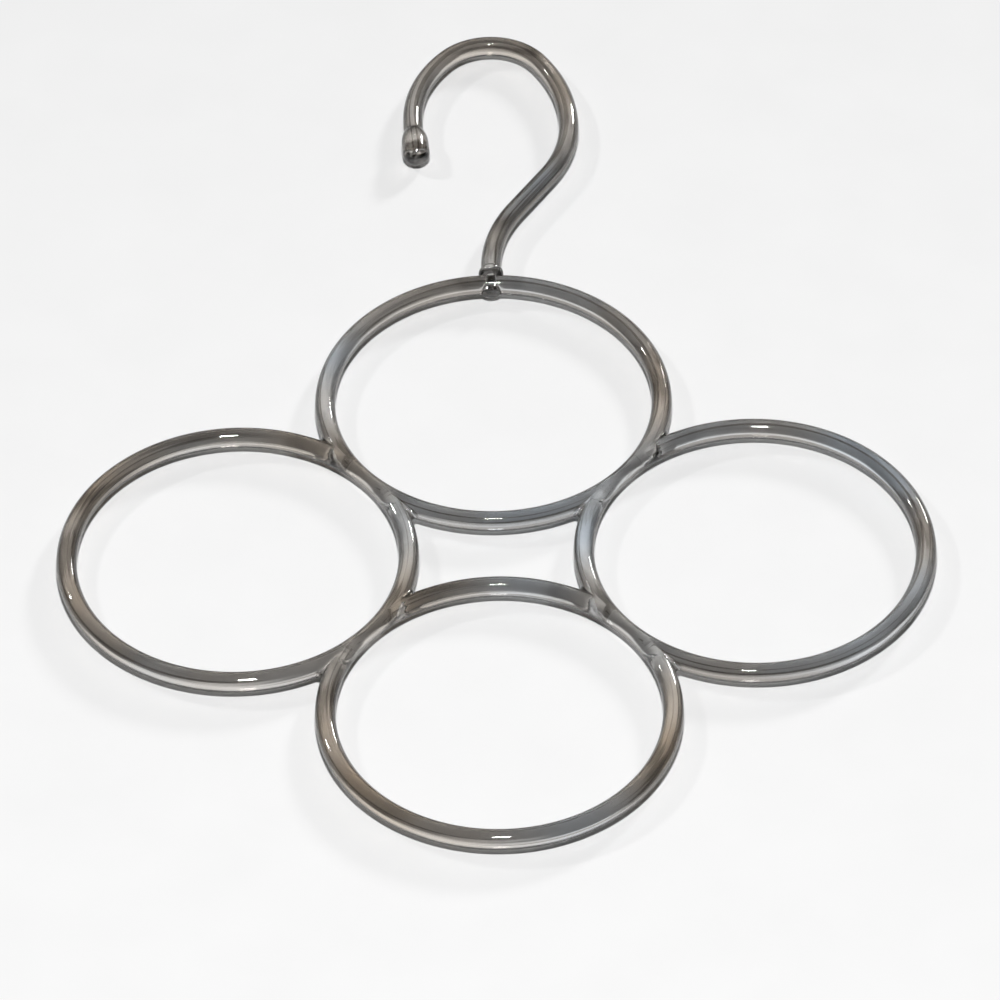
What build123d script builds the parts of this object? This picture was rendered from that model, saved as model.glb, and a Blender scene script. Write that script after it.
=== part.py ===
import os
from math import asin, cos, radians, sin, sqrt

from build123d import *
from build123d.topology import SkipClean

# The hanger lies flat, as in a drawer: X to the right, Y towards the hook, Z up.
# The balls touch the plane Z = 0. All sizes are in millimetres.

# rings of round rod
rod_r = 2.85
ring_outer_r = 50.0
neck_w = 4.4
joint_angle = 40.0

# rolling-ball fillet in each crotch between two rings
crotch_fillet = 1.3
crotch_start_share = 0.52
crotch_end_share = 1.2
crease_tol = 0.05

# balls at the hook's foot and tip
ball_r = 3.9
boss_fillet = 0.6
seat_flat = 2.9

# swivel between the hook and the top ring
spindle_r = 1.5
running_gap = 0.05
side_gap = 0.2
head_r = 2.5
head_seat = 1.6
head_sink = 0.05
collar_r = 3.55
collar_len = 2.8
collar_foot_r = 2.7

# hook, from the stem to the tip
stem_len = 1.0
lead_r = 42.0
lead_angle = 34.0
shank_len = 17.0
shoulder_r = 38.5
flank_r = 48.0
flank_angle = 34.0
crown_r = 17.2
nose_r = 37.0
nose_angle = 43.0
lean_r = 76.0
lean_angle = 4.3
bulb_len = 8.5
bulb_cyl = 3.8

# sizes and places that follow
half_turn = 180.0
ring_r = ring_outer_r - rod_r
pitch = 2 * (ring_r - rod_r) + neck_w
neck_x = pitch / 2
crotch_start = crotch_start_share * sqrt(ring_outer_r**2 - neck_x**2)
crotch_end = crotch_end_share * sqrt((ring_outer_r + crotch_fillet) ** 2 - neck_x**2)
side_x = pitch * cos(radians(joint_angle))
top_y = pitch * sin(radians(joint_angle))
boss_y = top_y + ring_r
bore_r = spindle_r + running_gap
recess_r = head_r + side_gap
collar_y = boss_y + seat_flat + side_gap
stem_y = collar_y + collar_len
reach = 2 * ring_outer_r


def block(x0, x1, y0, y1, z0, z1):
    """A box between two corners."""
    middle = Vector((x0 + x1) / 2, (y0 + y1) / 2, (z0 + z1) / 2)
    return Box(x1 - x0, y1 - y0, z1 - z0).translate(middle)


def crotch_zone(side, x_end):
    """The stretch beside a neck where two rings part; side is 1 above the neck, -1 below."""
    low, high = sorted((side * crotch_start, side * crotch_end))
    return block(ring_r / 2, x_end, low, high, -rod_r * 2, rod_r * 2)


def crotch_half(side):
    """One ring's rod in a crotch, with its half of the rolling-ball fillet."""
    own = Torus(ring_r, rod_r)
    other = own.translate(Vector(pitch, 0, 0))
    both = crotch_zone(side, pitch - ring_r / 2)
    pair = (own & both) + (other & both)
    crease = [
        edge
        for edge in pair.edges()
        if abs(edge.center().X - neck_x) < crease_tol and edge.bounding_box().size.X < crease_tol
    ]
    return fillet(crease, crotch_fillet) & crotch_zone(side, neck_x)


def bossed_torus():
    """The top ring's torus with its ball: flat under the collar, bored and recessed for the swivel."""
    centre = Vector(0, ring_r, 0)
    torus = Torus(ring_r, rod_r) + Sphere(ball_r).translate(centre)
    seams = [
        edge
        for edge in torus.edges()
        if edge.geom_type == GeomType.BSPLINE and (edge.center() - centre).length < ball_r + crease_tol
    ]
    torus = fillet(seams, boss_fillet)
    across = Plane(origin=centre, z_dir=(0, -1, 0))
    bore = extrude(across * Circle(bore_r), ball_r, both=True)
    recess = extrude(across.offset(head_seat) * Circle(recess_r), ball_r)
    flat = extrude(across.offset(-seat_flat) * Circle(ball_r), -ball_r)
    return torus - bore - recess - flat


def joined_ring(torus, angles):
    """A ring whose rod runs into its neighbours in the given directions."""
    beyond = block(neck_x, reach, -reach, reach, -reach, reach)
    cutters = (beyond, crotch_zone(1, neck_x), crotch_zone(-1, neck_x))
    halves = (crotch_half(1), crotch_half(-1))
    ring = torus - [cutter.rotate(Axis.Z, angle) for angle in angles for cutter in cutters]
    # the pieces of rod keep their own faces, because one merged face would close on itself
    with SkipClean():
        ring = ring + [half.rotate(Axis.Z, angle) for angle in angles for half in halves]
    return ring


def swivel():
    """Collar, spindle and headed end of the hook, turned about the stem's line."""
    sphere_r = ball_r - head_sink
    head_y = boss_y - head_seat - side_gap
    edge_y = boss_y - sqrt(sphere_r**2 - head_r**2)
    pole_y = boss_y - sphere_r
    half_angle = asin(head_r / sphere_r) / 2
    middle = (sphere_r * sin(half_angle), boss_y - sphere_r * cos(half_angle))
    with BuildSketch() as profile:
        with BuildLine():
            ThreePointArc((0, pole_y), middle, (head_r, edge_y))
            Polyline((head_r, edge_y), (head_r, head_y), (spindle_r, head_y), (spindle_r, collar_y),
                     (collar_foot_r, collar_y))
            ThreePointArc((collar_foot_r, collar_y), (collar_r, (collar_y + stem_y) / 2),
                          (rod_r, stem_y))
            Polyline((rod_r, stem_y), (0, stem_y), (0, pole_y))
        make_face()
    return revolve(profile.sketch, Axis.Y)


def hook_line():
    """The rod's centre line from the collar to the middle of the tip ball."""
    crown_angle = half_turn - flank_angle - nose_angle
    bends = ((lead_r, -lead_angle), (shank_len, None), (shoulder_r, lead_angle), (flank_r, flank_angle),
             (crown_r, crown_angle), (nose_r, nose_angle), (lean_r, lean_angle), (bulb_len, None))
    line = [Edge.make_line((0, stem_y, 0), (0, stem_y + stem_len, 0))]
    for size, angle in bends:
        start, along = line[-1] @ 1, line[-1] % 1
        if angle is None:
            line.append(Edge.make_line(start, start + along * size))
        else:
            line.append(JernArc(start, along, size, angle).edge())
    return line


def bulb(last):
    """The rod's thickened end: a taper, a short barrel and a ball."""
    with BuildSketch() as profile:
        with BuildLine():
            rise = sqrt(ball_r**2 / 2)
            ThreePointArc((0, -ball_r), (rise, -rise), (ball_r, 0))
            Line((ball_r, 0), (ball_r, bulb_cyl))
            TangentArc((ball_r, bulb_cyl), (rod_r, bulb_len), tangent=(0, 1))
            Polyline((rod_r, bulb_len), (0, bulb_len), (0, -ball_r))
        make_face()
    body = revolve(profile.sketch, Axis.Y)
    back = last % 1 * -1
    turn = Vector(0, 1, 0).get_signed_angle(back, Vector(0, 0, 1))
    return body.rotate(Axis.Z, turn).translate(last @ 1)


def hook():
    """The hook: bent rod, bulb at the tip, swivel at the foot."""
    line = hook_line()
    start = Plane(origin=line[0] @ 0, z_dir=line[0] % 0)
    rod = sweep(start * Circle(rod_r), path=Wire(line))
    return rod + bulb(line[-1]) + swivel()


def rings():
    """Four alike rings, each joined to its two neighbours."""
    back = half_turn - joint_angle
    plain = Torus(ring_r, rod_r)
    top = joined_ring(bossed_torus(), (-joint_angle, -back))
    bottom = joined_ring(plain, (joint_angle, back))
    left = joined_ring(plain, (joint_angle, -joint_angle))
    right = joined_ring(plain, (back, -back))
    return {
        "ring_top": top.translate(Vector(0, top_y, 0)),
        "ring_bottom": bottom.translate(Vector(0, -top_y, 0)),
        "ring_left": left.translate(Vector(-side_x, 0, 0)),
        "ring_right": right.translate(Vector(side_x, 0, 0)),
    }


def main():
    """Write one STEP file per node, with the origin under the middle of the whole hanger."""
    os.makedirs("parts", exist_ok=True)
    nodes = {**rings(), "hook": hook()}
    boxes = [shape.bounding_box() for shape in nodes.values()]
    middle_y = (min(box.min.Y for box in boxes) + max(box.max.Y for box in boxes)) / 2
    for name, shape in nodes.items():
        export_step(shape.translate(Vector(0, -middle_y, ball_r)), "parts/" + name + ".step")


main()
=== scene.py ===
from math import acos, asin, cos, pi, radians, sin, sqrt

import bmesh
import bpy
from mathutils import Matrix, Vector
from mathutils.kdtree import KDTree


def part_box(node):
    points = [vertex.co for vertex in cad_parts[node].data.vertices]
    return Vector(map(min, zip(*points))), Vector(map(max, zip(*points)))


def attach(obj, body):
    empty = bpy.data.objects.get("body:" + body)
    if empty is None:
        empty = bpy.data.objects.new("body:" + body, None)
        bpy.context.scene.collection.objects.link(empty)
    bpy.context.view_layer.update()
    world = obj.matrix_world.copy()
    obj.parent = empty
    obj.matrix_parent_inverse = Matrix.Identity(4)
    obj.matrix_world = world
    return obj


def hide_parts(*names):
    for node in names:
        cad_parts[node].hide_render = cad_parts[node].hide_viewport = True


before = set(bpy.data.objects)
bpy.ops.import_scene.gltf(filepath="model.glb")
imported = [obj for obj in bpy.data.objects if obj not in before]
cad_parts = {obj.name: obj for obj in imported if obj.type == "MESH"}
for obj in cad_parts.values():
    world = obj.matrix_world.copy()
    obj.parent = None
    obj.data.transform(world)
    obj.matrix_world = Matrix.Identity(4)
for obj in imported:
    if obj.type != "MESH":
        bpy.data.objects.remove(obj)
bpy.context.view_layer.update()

# Frame of four rings and the ball for the hook, in metres
ROD_R = 0.00285
OUTER_R = 0.050
NECK_W = 0.0044
JOINT_ANGLE = radians(40)
CROTCH_R = 0.0013
BALL_R = 0.0039
BOSS_FILLET = 0.0006
SEAT_FLAT = 0.0029

# Swivel
SPINDLE_R = 0.0015
RUNNING_GAP = 0.00005
SIDE_GAP = 0.0002
HEAD_R = 0.0025
HEAD_SEAT = 0.0016
HEAD_SINK = 0.00005
COLLAR_R = 0.00355
COLLAR_LEN = 0.0028
COLLAR_FOOT_R = 0.0027

# Hook, from the stem to the tip
STEM_LEN = 0.001
LEAD_R, LEAD_ANGLE = 0.042, radians(34)
SHANK_LEN = 0.017
SHOULDER_R = 0.0385
FLANK_R, FLANK_ANGLE = 0.048, radians(34)
CROWN_R = 0.0172
NOSE_R, NOSE_ANGLE = 0.037, radians(43)
LEAN_R, LEAN_ANGLE = 0.076, radians(4.3)
BULB_LEN = 0.0085
BULB_CYL = 0.0038

# How finely the curved pieces are divided
AROUND = 64
FILLET_STEPS = 8
CROTCH_STEPS = 56
ARC_STEP = radians(1.2)
BOSS_STEP = 0.00012
BOSS_REACH_SHARE = 1.2
BOSS_CLEAR_SHARE = 1.1
HOOK_STEP = 0.0006
SWIVEL_STEPS = 16
BARREL_STEPS = 8
TIP_STEPS = 24
LINE_STEP = 0.0004
WELD = 2e-7
FRAME_CREASE = radians(40)
TURNED_CREASE = radians(30)

# Clear plastic: colours are linear, scales are features per metre, depths are in metres
PLASTIC_IOR = 1.49
PLASTIC_WARM = (0.66, 0.58, 0.49, 1)
PLASTIC_COOL = (0.7, 0.74, 0.78, 1)
# The rim colour is painted shade: a dark edge where the rod's surface turns away from the camera, standing
# in for the dark edges that the clear rods show
PLASTIC_EDGE_SHADE = (0.04, 0.035, 0.03, 1)
# The streak colour is painted shade: dark lines along the rods, standing in for shadow seen through the
# clear plastic
PLASTIC_STREAK_SHADE = (0.22, 0.2, 0.18, 1)
CLOUD_SCALE, CLOUD_DETAIL = 14, 2
CLOUD_RANGE = (0.35, 0.65)
# The next three lines size the painted shade: the dark streaks along the rods and the dark rims at their
# edges
STREAK_SHADE_SCALE, STREAK_SHADE_DETAIL = 850, 1
STREAK_SHADE_RANGE = (0.54, 0.63)
EDGE_SHADE_RANGE = (0.3, 0.62)
HAZE_SCALE, HAZE_DETAIL = 260, 6
HAZE_RANGE = (0.5, 0.75)
HAZE = 0.05
WAVE_SCALE, WAVE_DETAIL = 70, 1
WAVE_DEPTH = 0.00006
LINE_SCALE, LINE_DETAIL = 900, 2
LINE_DEPTH = 0.0001
GRAIN_DRIFT = 0.01
HOOK_GRAIN = 0.0095

# Floor
FLOOR_SIZE = 6
FLOOR_LOW = (0.86, 0.86, 0.86, 1)
FLOOR_HIGH = (0.9, 0.9, 0.9, 1)
FLOOR_SCALE, FLOOR_DETAIL = 40, 3
FLOOR_ROUGHNESS = 0.8
FLOOR_SPECULAR = 0.2

# Camera, as fitted to the photograph
PIXELS = 1000
FOCAL_PIXELS = 9000
ELEVATION = radians(45.19)
AZIMUTH = radians(0.19)
ROLL = radians(-0.86)
DISTANCE = 2.479
SHIFT_PIXELS = (-3.66, 53.76)
SENSOR = 36
VIEW_END = 20

# Lamps as name, place, size and watts; the glints are low lamps behind the hanger
LAMPS = (
    ("key", (0, -0.75, 2.1), 0.22, 44),
    ("glint_right", (1.1, 1.65, 0.8), 0.25, 12),
    ("glint_left", (-1.5, 1, 1.3), 0.15, 6),
)
WORLD = (0.03, 0.03, 0.03, 1)
BOUNCES = 24

# Sizes and places that follow
RING_R = OUTER_R - ROD_R
BORE_R = SPINDLE_R + RUNNING_GAP
RECESS_R = HEAD_R + SIDE_GAP
COLLAR_Y = SEAT_FLAT + SIDE_GAP
PITCH = 2 * (RING_R - ROD_R) + NECK_W
NECK_X = PITCH / 2
CROTCH_END = acos(NECK_X / (OUTER_R + CROTCH_R))
UP = Vector((0, 0, 1))


def ring_centres():
    """The middles of the four rings, counted up from the lowest point of the bottom ring."""
    rise, side = PITCH * sin(JOINT_ANGLE), PITCH * cos(JOINT_ANGLE)
    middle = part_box("ring_bottom")[0][1] + OUTER_R + rise
    return {
        "ring_top": Vector((0, middle + rise, BALL_R)),
        "ring_bottom": Vector((0, middle - rise, BALL_R)),
        "ring_left": Vector((-side, middle, BALL_R)),
        "ring_right": Vector((side, middle, BALL_R)),
    }


CENTRES = ring_centres()
BOSS = CENTRES["ring_top"] + Vector((0, RING_R, 0))


# Mesh tools

def link(name, data):
    """A new object in the scene."""
    piece = bpy.data.objects.new(name, data)
    bpy.context.scene.collection.objects.link(piece)
    return piece


def skin(bm, rows, closed):
    """Quads between neighbouring rows of points."""
    made = [[bm.verts.new(point) for point in row] for row in rows]
    for one, two in zip(made, made[1:]):
        count = len(one) if closed else len(one) - 1
        for i in range(count):
            j = (i + 1) % len(one)
            bm.faces.new((one[i], one[j], two[j], two[i]))


def circle(middle, across, up, radius):
    """Points all round a rod's middle."""
    return [middle + (across * cos(a) + up * sin(a)) * radius
            for a in (2 * pi * i / AROUND for i in range(AROUND))]


def turned_rod(bm, stations, place):
    """A skin from stations of (distance along, radius) on a line given by place(distance)."""
    rows = []
    for along, radius in stations:
        middle, across, up = place(along)
        rows.append(circle(middle, across, up, radius) if radius > WELD else [middle] * AROUND)
    skin(bm, rows, True)


def finished(bm, name, crease):
    """The object of a mesh: seams joined, normals set, edges sharper than the crease kept crisp."""
    bmesh.ops.remove_doubles(bm, verts=bm.verts, dist=WELD)
    bmesh.ops.dissolve_degenerate(bm, edges=bm.edges, dist=WELD)
    bmesh.ops.recalc_face_normals(bm, faces=bm.faces)
    for face in bm.faces:
        face.smooth = True
    for edge in bm.edges:
        edge.smooth = len(edge.link_faces) == 2 and edge.calc_face_angle() < crease
    mesh = bpy.data.meshes.new(name)
    bm.to_mesh(mesh)
    bm.free()
    return link(name, mesh)


# Ring frame

def boss_radius(along):
    """The rod's radius at a distance from the boss's middle: a ball, blended into the rod."""
    along = abs(along)
    blend_at = sqrt((BALL_R + BOSS_FILLET) ** 2 - (ROD_R + BOSS_FILLET) ** 2)
    ball_end = blend_at * BALL_R / (BALL_R + BOSS_FILLET)
    if along < ball_end:
        return sqrt(BALL_R**2 - along**2)
    if along < blend_at:
        return ROD_R + BOSS_FILLET - sqrt(BOSS_FILLET**2 - (along - blend_at) ** 2)
    return ROD_R


def crotch_arcs(out, reach, grip, start):
    """The fillet in a crotch, from the rod to the plane between the rings, above and below."""
    ball = out * reach + UP * sqrt(max(0, grip**2 - (reach - RING_R) ** 2))
    contact = -(out * cos(start) + UP * sin(start))
    crease = Vector((0, contact.y, contact.z)).normalized()
    upper = [ball + contact.lerp(crease, i / FILLET_STEPS).normalized() * CROTCH_R
             for i in range(FILLET_STEPS, 0, -1)]
    lower = [Vector((p.x, p.y, -p.z)) for p in reversed(upper)]
    return upper, lower


def joint_row(turn):
    """One open row of a ring's skin near a joint; turn is the angle from the joint's direction."""
    reach = NECK_X / cos(turn)
    blended = reach > RING_R
    grip = ROD_R + CROTCH_R if blended else ROD_R
    start = acos(max(-1, min(1, (reach - RING_R) / grip)))
    out = Vector((cos(turn), sin(turn), 0))
    row = [out * RING_R + (out * cos(a) + UP * sin(a)) * ROD_R
           for a in (start + (2 * pi - 2 * start) * i / AROUND for i in range(AROUND + 1))]
    if not blended:
        return [row[0]] * FILLET_STEPS + row + [row[-1]] * FILLET_STEPS
    upper, lower = crotch_arcs(out, reach, grip, start)
    return upper + row + lower


def joint_rows():
    """The rows through a whole joint, closer together towards its two ends."""
    return [joint_row(CROTCH_END * sin(pi * (i / CROTCH_STEPS - 0.5))) for i in range(CROTCH_STEPS + 1)]


def rod_rows(begin, end, with_boss):
    """The rows of plain rod between two joints, with the ball in the middle of the far one."""
    count = round((end - begin) / ARC_STEP)
    turns = [begin + (end - begin) * i / count for i in range(count + 1)]
    boss_at = pi / 2
    if with_boss and begin < boss_at < end:
        reach = BOSS_REACH_SHARE * BALL_R / RING_R
        count = round(reach * RING_R / BOSS_STEP)
        fine = [boss_at + reach * i / count for i in range(-count, count + 1)]
        turns = sorted([turn for turn in turns if abs(turn - boss_at) > reach * BOSS_CLEAR_SHARE] + fine)
        radii = [boss_radius((turn - boss_at) * RING_R) for turn in turns]
    else:
        radii = [ROD_R] * len(turns)
    outs = [Vector((cos(turn), sin(turn), 0)) for turn in turns]
    return [circle(out * RING_R, out, UP, radius) for out, radius in zip(outs, radii)]


def add_ring(bm, node, joints):
    """One ring of the frame: a skin round each joint and plain rod between them."""
    place = Matrix.Translation(CENTRES[node])
    angles = sorted(angle % (2 * pi) for angle in joints)
    for angle in angles:
        turned = place @ Matrix.Rotation(angle, 4, "Z")
        skin(bm, [[turned @ p for p in row] for row in joint_rows()], False)
    for first, second in zip(angles, angles[1:] + [angles[0] + 2 * pi]):
        rows = rod_rows(first + CROTCH_END, second - CROTCH_END, node == "ring_top")
        skin(bm, [[place @ p for p in row] for row in rows], True)


def build_frame():
    """The moulded frame: four rings in one skin, with the boss bored for the swivel."""
    bm = bmesh.new()
    back = pi - JOINT_ANGLE
    add_ring(bm, "ring_top", (-JOINT_ANGLE, -back))
    add_ring(bm, "ring_bottom", (JOINT_ANGLE, back))
    add_ring(bm, "ring_left", (JOINT_ANGLE, -JOINT_ANGLE))
    add_ring(bm, "ring_right", (back, -back))
    piece = finished(bm, "ring_frame", FRAME_CREASE)
    cut_away(piece, bore_cutter())
    return piece


def bore_place(along):
    """A place on the swivel's axis, at a distance from the boss's middle towards the hook."""
    return BOSS + Vector((0, along, 0)), Vector((1, 0, 0)), -UP


def bore_cutter():
    """What the boss loses: the flat under the collar, the spindle's bore and the head's recess."""
    far = 2 * BALL_R
    stations = ((-far, 0), (-far, RECESS_R), (-HEAD_SEAT, RECESS_R), (-HEAD_SEAT, BORE_R),
                (SEAT_FLAT, BORE_R), (SEAT_FLAT, BALL_R), (far, BALL_R), (far, 0))
    bm = bmesh.new()
    turned_rod(bm, stations, bore_place)
    return finished(bm, "bore", TURNED_CREASE)


def cut_away(piece, cutter):
    """Takes the cutter's shape out of the piece."""
    cut = piece.modifiers.new("cut", "BOOLEAN")
    cut.operation = "DIFFERENCE"
    cut.object = cutter
    cut.solver = "EXACT"
    graph = bpy.context.evaluated_depsgraph_get()
    done = bpy.data.meshes.new_from_object(piece.evaluated_get(graph))
    piece.modifiers.clear()
    piece.data = done
    bpy.data.objects.remove(cutter)


# Hook

def hook_bends():
    """The hook's centre line as (length, signed radius) runs; radius 0 is straight."""
    crown_angle = pi - FLANK_ANGLE - NOSE_ANGLE
    return (
        (BALL_R + COLLAR_Y + COLLAR_LEN + STEM_LEN, 0),
        (LEAD_R * LEAD_ANGLE, -LEAD_R),
        (SHANK_LEN, 0),
        (SHOULDER_R * LEAD_ANGLE, SHOULDER_R),
        (FLANK_R * FLANK_ANGLE, FLANK_R),
        (CROWN_R * crown_angle, CROWN_R),
        (NOSE_R * NOSE_ANGLE, NOSE_R),
        (LEAN_R * LEAN_ANGLE, LEAN_R),
        (BULB_LEN + BALL_R, 0),
    )


HOOK_LEN = sum(length for length, radius in hook_bends())


def hook_place(distance):
    """Where the hook's centre line is at a distance from the head's pole, and its two side directions."""
    point = BOSS - Vector((0, BALL_R, 0))
    heading = pi / 2
    for length, radius in hook_bends():
        step = min(distance, length)
        if radius:
            side = Vector((-sin(heading), cos(heading), 0))
            heading += step / radius
            point = point + (side - Vector((-sin(heading), cos(heading), 0))) * radius
        else:
            point = point + Vector((cos(heading), sin(heading), 0)) * step
        distance -= step
        if distance <= 0:
            break
    return point, Vector((-sin(heading), cos(heading), 0)), UP


def arc_through(first, middle, last):
    """Points on the circle through three points, from the first to the last."""
    (ax, ay), (bx, by), (cx, cy) = first, middle, last
    d = 2 * (ax * (by - cy) + bx * (cy - ay) + cx * (ay - by))
    a2, b2, c2 = ax**2 + ay**2, bx**2 + by**2, cx**2 + cy**2
    ux = (a2 * (by - cy) + b2 * (cy - ay) + c2 * (ay - by)) / d
    uy = (a2 * (cx - bx) + b2 * (ax - cx) + c2 * (bx - ax)) / d
    r = sqrt((ax - ux) ** 2 + (ay - uy) ** 2)
    begin, end = asin((ay - uy) / r), asin((cy - uy) / r)
    turns = [begin + (end - begin) * i / SWIVEL_STEPS for i in range(SWIVEL_STEPS + 1)]
    return [(ux + r * cos(turn), uy + r * sin(turn)) for turn in turns]


def swivel_stations():
    """The head, the spindle and the collar, from the head's pole on."""
    head_ball = BALL_R - HEAD_SINK
    edge = asin(HEAD_R / head_ball)
    turns = [edge * i / SWIVEL_STEPS for i in range(SWIVEL_STEPS + 1)]
    head = [(BALL_R - head_ball * cos(turn), head_ball * sin(turn)) for turn in turns]
    shoulder = BALL_R - HEAD_SEAT - SIDE_GAP
    foot = BALL_R + COLLAR_Y
    spindle = [(shoulder, HEAD_R), (shoulder, SPINDLE_R), (foot, SPINDLE_R)]
    side = arc_through((COLLAR_FOOT_R, foot), (COLLAR_R, foot + COLLAR_LEN / 2), (ROD_R, foot + COLLAR_LEN))
    return head + spindle + [(along, radius) for radius, along in side]


def rod_stations(begin, end):
    """The plain rod from the collar to the bulb."""
    count = round((end - begin) / HOOK_STEP)
    return [(begin + (end - begin) * i / count, ROD_R) for i in range(1, count + 1)]


def bulb_stations(begin, tip):
    """The rod's thickened end: a taper that ends level, a short barrel and half a ball."""
    run, swell = BULB_LEN - BULB_CYL, BALL_R - ROD_R
    taper_r = (run**2 + swell**2) / (2 * swell)
    steps = [run * i / SWIVEL_STEPS for i in range(1, SWIVEL_STEPS + 1)]
    taper = [(begin + step, BALL_R - taper_r + sqrt(taper_r**2 - (run - step) ** 2)) for step in steps]
    barrel = [(tip - BULB_CYL + BULB_CYL * i / BARREL_STEPS, BALL_R) for i in range(1, BARREL_STEPS + 1)]
    turns = [pi / 2 * i / TIP_STEPS for i in range(1, TIP_STEPS + 1)]
    return taper + barrel + [(tip + BALL_R * sin(turn), BALL_R * cos(turn)) for turn in turns]


def hook_stations():
    """Distances from the head's pole to the tip's pole, with the hook's radius there."""
    collar_end = BALL_R + COLLAR_Y + COLLAR_LEN
    tip = HOOK_LEN - BALL_R
    bulb_begin = tip - BULB_LEN
    return swivel_stations() + rod_stations(collar_end, bulb_begin) + bulb_stations(bulb_begin, tip)


def build_hook():
    """The hook: head, spindle, collar, bent rod and bulb in one skin."""
    bm = bmesh.new()
    turned_rod(bm, hook_stations(), hook_place)
    return finished(bm, "swivel_hook_rod", TURNED_CREASE)


# Lines along the rods, for the plastic's bumped lines and its painted shade streaks

def ring_place(centre):
    """Like hook_place, for the rod of one ring."""
    def place(distance):
        turn = distance / RING_R
        out = Vector((cos(turn), sin(turn), 0))
        return centre + out * RING_R, out, UP
    return place


def rod_line(place, length):
    """The middle and the sideways direction at points all along a rod."""
    count = round(length / LINE_STEP)
    stations = [place(length * i / count) for i in range(count + 1)]
    return [(middle, across) for middle, across, up in stations]


def mark_grain(piece, line, start):
    """Stores how far each point lies beside and above its rod's middle, with a slow drift."""
    tree = KDTree(len(line))
    for i, (middle, across) in enumerate(line):
        tree.insert(middle, i)
    tree.balance()
    grain = piece.data.attributes.new("grain", "FLOAT_VECTOR", "POINT")
    for vertex in piece.data.vertices:
        middle, across = line[tree.find(vertex.co)[1]]
        off = vertex.co - middle
        drift = (vertex.co.x + vertex.co.y) * GRAIN_DRIFT
        grain.data[vertex.index].vector = (off.dot(across), off.z, start + drift)


# Materials

def add_node(tree, kind, values=(), **settings):
    """A shader node with its settings and the plain values of its inputs."""
    node = tree.nodes.new(kind)
    for name, value in settings.items():
        setattr(node, name, value)
    for name, value in values:
        node.inputs[name].default_value = value
    return node


def add_noise(tree, coordinates, scale, detail):
    """A noise pattern over the given coordinates."""
    noise = add_node(tree, "ShaderNodeTexNoise", (("Scale", scale), ("Detail", detail)))
    tree.links.new(coordinates, noise.inputs["Vector"])
    return noise.outputs["Fac"]


def add_range(tree, value, span, highest=1):
    """Maps a span of values to 0 up to the highest."""
    spread = add_node(tree, "ShaderNodeMapRange", (
        ("From Min", span[0]), ("From Max", span[1]), ("To Min", 0), ("To Max", highest)))
    tree.links.new(value, spread.inputs["Value"])
    return spread.outputs["Result"]


def add_mix(tree, share, first, second):
    """A colour between two colours; each is a plain colour or another node's output."""
    mix = add_node(tree, "ShaderNodeMix", data_type="RGBA")
    colours = [socket for socket in mix.inputs if socket.type == "RGBA"]
    tree.links.new(share, mix.inputs["Factor"])
    for socket, colour in zip(colours, (first, second)):
        if isinstance(colour, tuple):
            socket.default_value = colour
        else:
            tree.links.new(colour, socket)
    return next(socket for socket in mix.outputs if socket.type == "RGBA")


def add_bump(tree, height, depth, under=None):
    """A bump of a depth in metres, laid over another bump."""
    bump = add_node(tree, "ShaderNodeBump", (("Distance", depth),))
    tree.links.new(height, bump.inputs["Height"])
    if under:
        tree.links.new(under, bump.inputs["Normal"])
    return bump.outputs["Normal"]


def new_material(name):
    """A node material, its node tree and its shader."""
    material = bpy.data.materials.new(name)
    material.use_nodes = True
    return material, material.node_tree, material.node_tree.nodes["Principled BSDF"]


def clear_plastic():
    """Clear moulded plastic with painted shade, as dark lines along the rods and dark rims at their edges;
    slow waves and a little haze.
    """
    material, tree, shader = new_material("clear_plastic")
    shader.inputs["Transmission Weight"].default_value = 1
    shader.inputs["IOR"].default_value = PLASTIC_IOR
    place = add_node(tree, "ShaderNodeTexCoord").outputs["Object"]
    grain = add_node(tree, "ShaderNodeAttribute", attribute_name="grain").outputs["Vector"]
    cloud = add_range(tree, add_noise(tree, place, CLOUD_SCALE, CLOUD_DETAIL), CLOUD_RANGE)
    # Painted shade: dark streaks along the rods, standing in for shadow seen through the plastic
    streak_shade = add_range(tree, add_noise(tree, grain, STREAK_SHADE_SCALE, STREAK_SHADE_DETAIL), STREAK_SHADE_RANGE)
    # Painted shade: dark rims where the surface turns away from the camera
    edge_shade = add_range(tree, add_node(tree, "ShaderNodeLayerWeight").outputs["Facing"], EDGE_SHADE_RANGE)
    body = add_mix(tree, cloud, PLASTIC_WARM, PLASTIC_COOL)
    body = add_mix(tree, streak_shade, body, PLASTIC_STREAK_SHADE)
    tree.links.new(add_mix(tree, edge_shade, body, PLASTIC_EDGE_SHADE), shader.inputs["Base Color"])
    haze = add_range(tree, add_noise(tree, place, HAZE_SCALE, HAZE_DETAIL), HAZE_RANGE, HAZE)
    tree.links.new(haze, shader.inputs["Roughness"])
    waves = add_bump(tree, add_noise(tree, place, WAVE_SCALE, WAVE_DETAIL), WAVE_DEPTH)
    lines = add_bump(tree, add_noise(tree, grain, LINE_SCALE, LINE_DETAIL), LINE_DEPTH, waves)
    tree.links.new(lines, shader.inputs["Normal"])
    return material


def pale_floor():
    """A plain pale table top with a faint grain."""
    material, tree, shader = new_material("pale_floor")
    shader.inputs["Roughness"].default_value = FLOOR_ROUGHNESS
    shader.inputs["Specular IOR Level"].default_value = FLOOR_SPECULAR
    place = add_node(tree, "ShaderNodeTexCoord").outputs["Object"]
    cloud = add_noise(tree, place, FLOOR_SCALE, FLOOR_DETAIL)
    tree.links.new(add_mix(tree, cloud, FLOOR_LOW, FLOOR_HIGH), shader.inputs["Base Color"])
    return material


# The hanger and its studio

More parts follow.
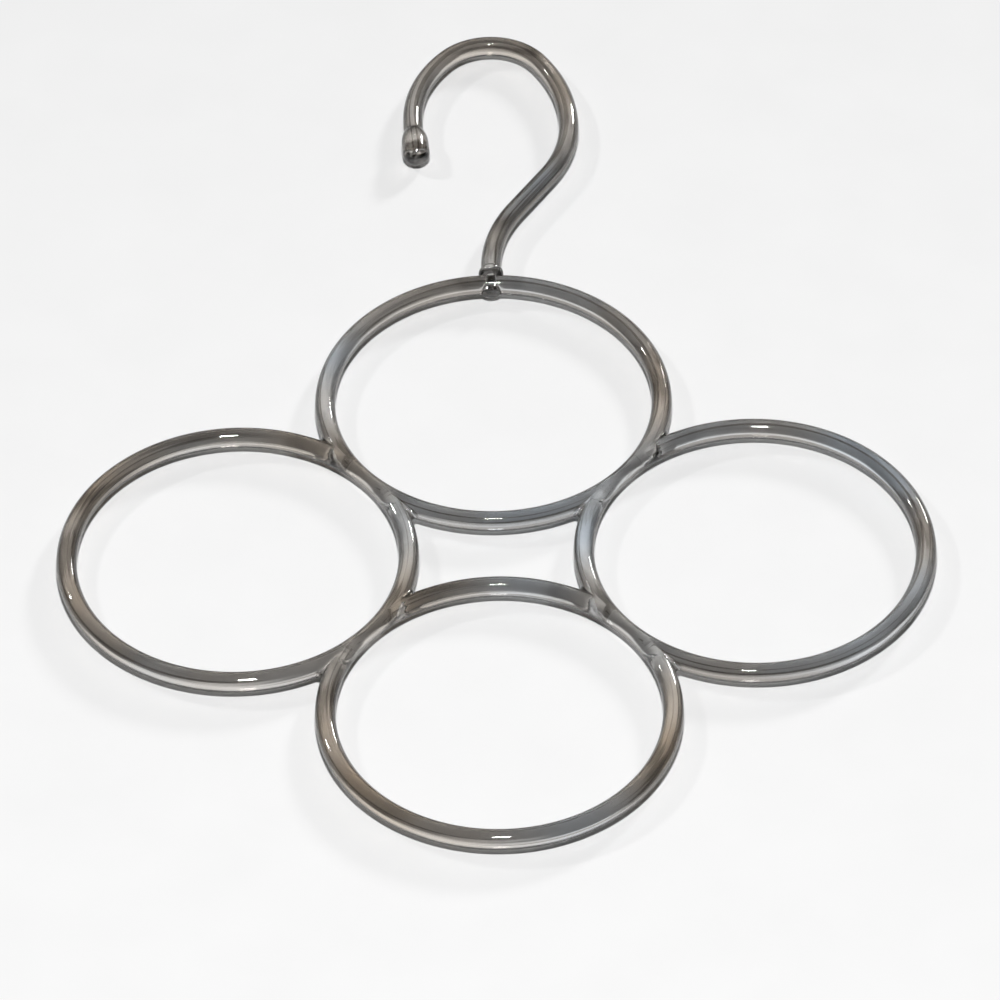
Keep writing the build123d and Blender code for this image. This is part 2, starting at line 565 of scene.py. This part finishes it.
def add_hanger():
    """The ring frame and the hook, each in place of its CAD nodes."""
    plastic = clear_plastic()
    rings, hook = build_frame(), build_hook()
    ring_len = 2 * pi * RING_R
    ring_line = [spot for centre in CENTRES.values() for spot in rod_line(ring_place(centre), ring_len)]
    mark_grain(rings, ring_line, 0)
    mark_grain(hook, rod_line(hook_place, HOOK_LEN), HOOK_GRAIN)
    for piece in (rings, hook):
        piece.data.materials.clear()
        piece.data.materials.append(plastic)
    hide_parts("ring_top", "ring_left", "ring_right", "ring_bottom")
    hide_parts("hook")
    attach(rings, "ring_frame")
    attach(hook, "swivel_hook")


def add_floor():
    """The pale floor that the hanger lies on."""
    bpy.ops.mesh.primitive_plane_add(size=FLOOR_SIZE)
    floor = bpy.context.object
    floor.name = "floor"
    floor.data.materials.append(pale_floor())


def camera_axes():
    """The camera's right, down and forward directions, as the rows of a matrix."""
    turn = Matrix(((cos(AZIMUTH), -sin(AZIMUTH), 0), (sin(AZIMUTH), cos(AZIMUTH), 0), (0, 0, 1)))
    tilt = Matrix(((1, 0, 0), (0, -sin(ELEVATION), -cos(ELEVATION)), (0, cos(ELEVATION), -sin(ELEVATION))))
    roll = Matrix(((cos(ROLL), -sin(ROLL), 0), (sin(ROLL), cos(ROLL), 0), (0, 0, 1)))
    return roll @ tilt @ turn


def add_camera():
    """The camera looks at the middle of the four rings, a little off its centre."""
    data = bpy.data.cameras.new("camera")
    data.sensor_width = SENSOR
    data.lens = FOCAL_PIXELS / PIXELS * SENSOR
    data.clip_end = VIEW_END
    camera = link("camera", data)
    rows = camera_axes()
    right, down = (pixels * DISTANCE / FOCAL_PIXELS for pixels in SHIFT_PIXELS)
    middle = (CENTRES["ring_top"] + CENTRES["ring_bottom"]) / 2
    place = middle - rows.transposed() @ Vector((right, down, DISTANCE))
    axes = Matrix((rows[0], -rows[1], -rows[2])).transposed()
    camera.matrix_world = Matrix.Translation(place) @ axes.to_4x4()
    bpy.context.scene.camera = camera


def add_lamp(name, place, size, watts):
    """A small square lamp that faces the hanger."""
    data = bpy.data.lights.new(name, "AREA")
    data.size = size
    data.energy = watts
    lamp = link(name, data)
    lamp.location = place
    lamp.rotation_euler = (-Vector(place)).to_track_quat("-Z", "Y").to_euler()


def add_light():
    """The lamps, a dim room, and enough bounces for light to get out of the clear rods again."""
    for lamp in LAMPS:
        add_lamp(*lamp)
    scene = bpy.context.scene
    scene.world = bpy.data.worlds.new("studio")
    scene.world.use_nodes = True
    scene.world.node_tree.nodes["Background"].inputs["Color"].default_value = WORLD
    scene.cycles.max_bounces = BOUNCES
    scene.cycles.transmission_bounces = BOUNCES
    scene.cycles.glossy_bounces = BOUNCES
    scene.view_settings.view_transform = "Standard"


add_hanger()
add_floor()
add_camera()
add_light()
